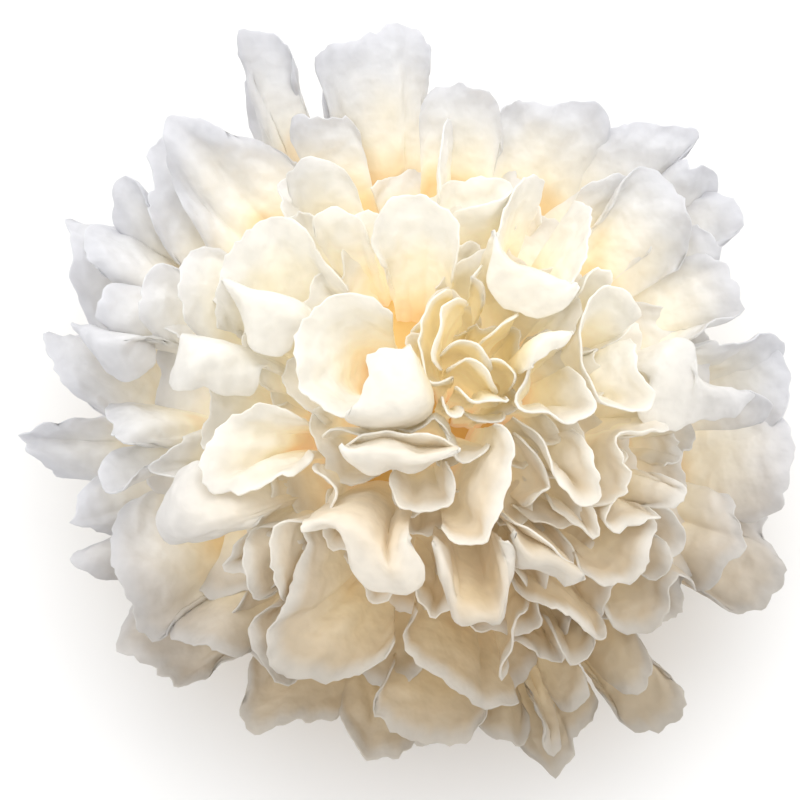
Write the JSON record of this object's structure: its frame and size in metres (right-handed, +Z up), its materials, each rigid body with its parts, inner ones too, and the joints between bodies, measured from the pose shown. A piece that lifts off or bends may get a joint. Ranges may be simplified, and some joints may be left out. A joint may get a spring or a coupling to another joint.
{
  "type": "dried snow fungus head",
  "caption": "Dried head of snow fungus: a low ball of thin, curled, translucent cream fronds, cut flat under its foot.",
  "frame": {"origin": "middle of the flat face where the head was cut from its wood", "axes": "+Z up, away from the cut face; +Y away from the viewer; +X to the viewer's right"},
  "size_m": [0.1144, 0.108, 0.0621],
  "materials": {
    "dried_jelly": "matt, slightly translucent, cream to off-white"
  },
  "bodies": {
    "root": {"fruit_body": "dried_jelly"}
  },
  "joints": []
}
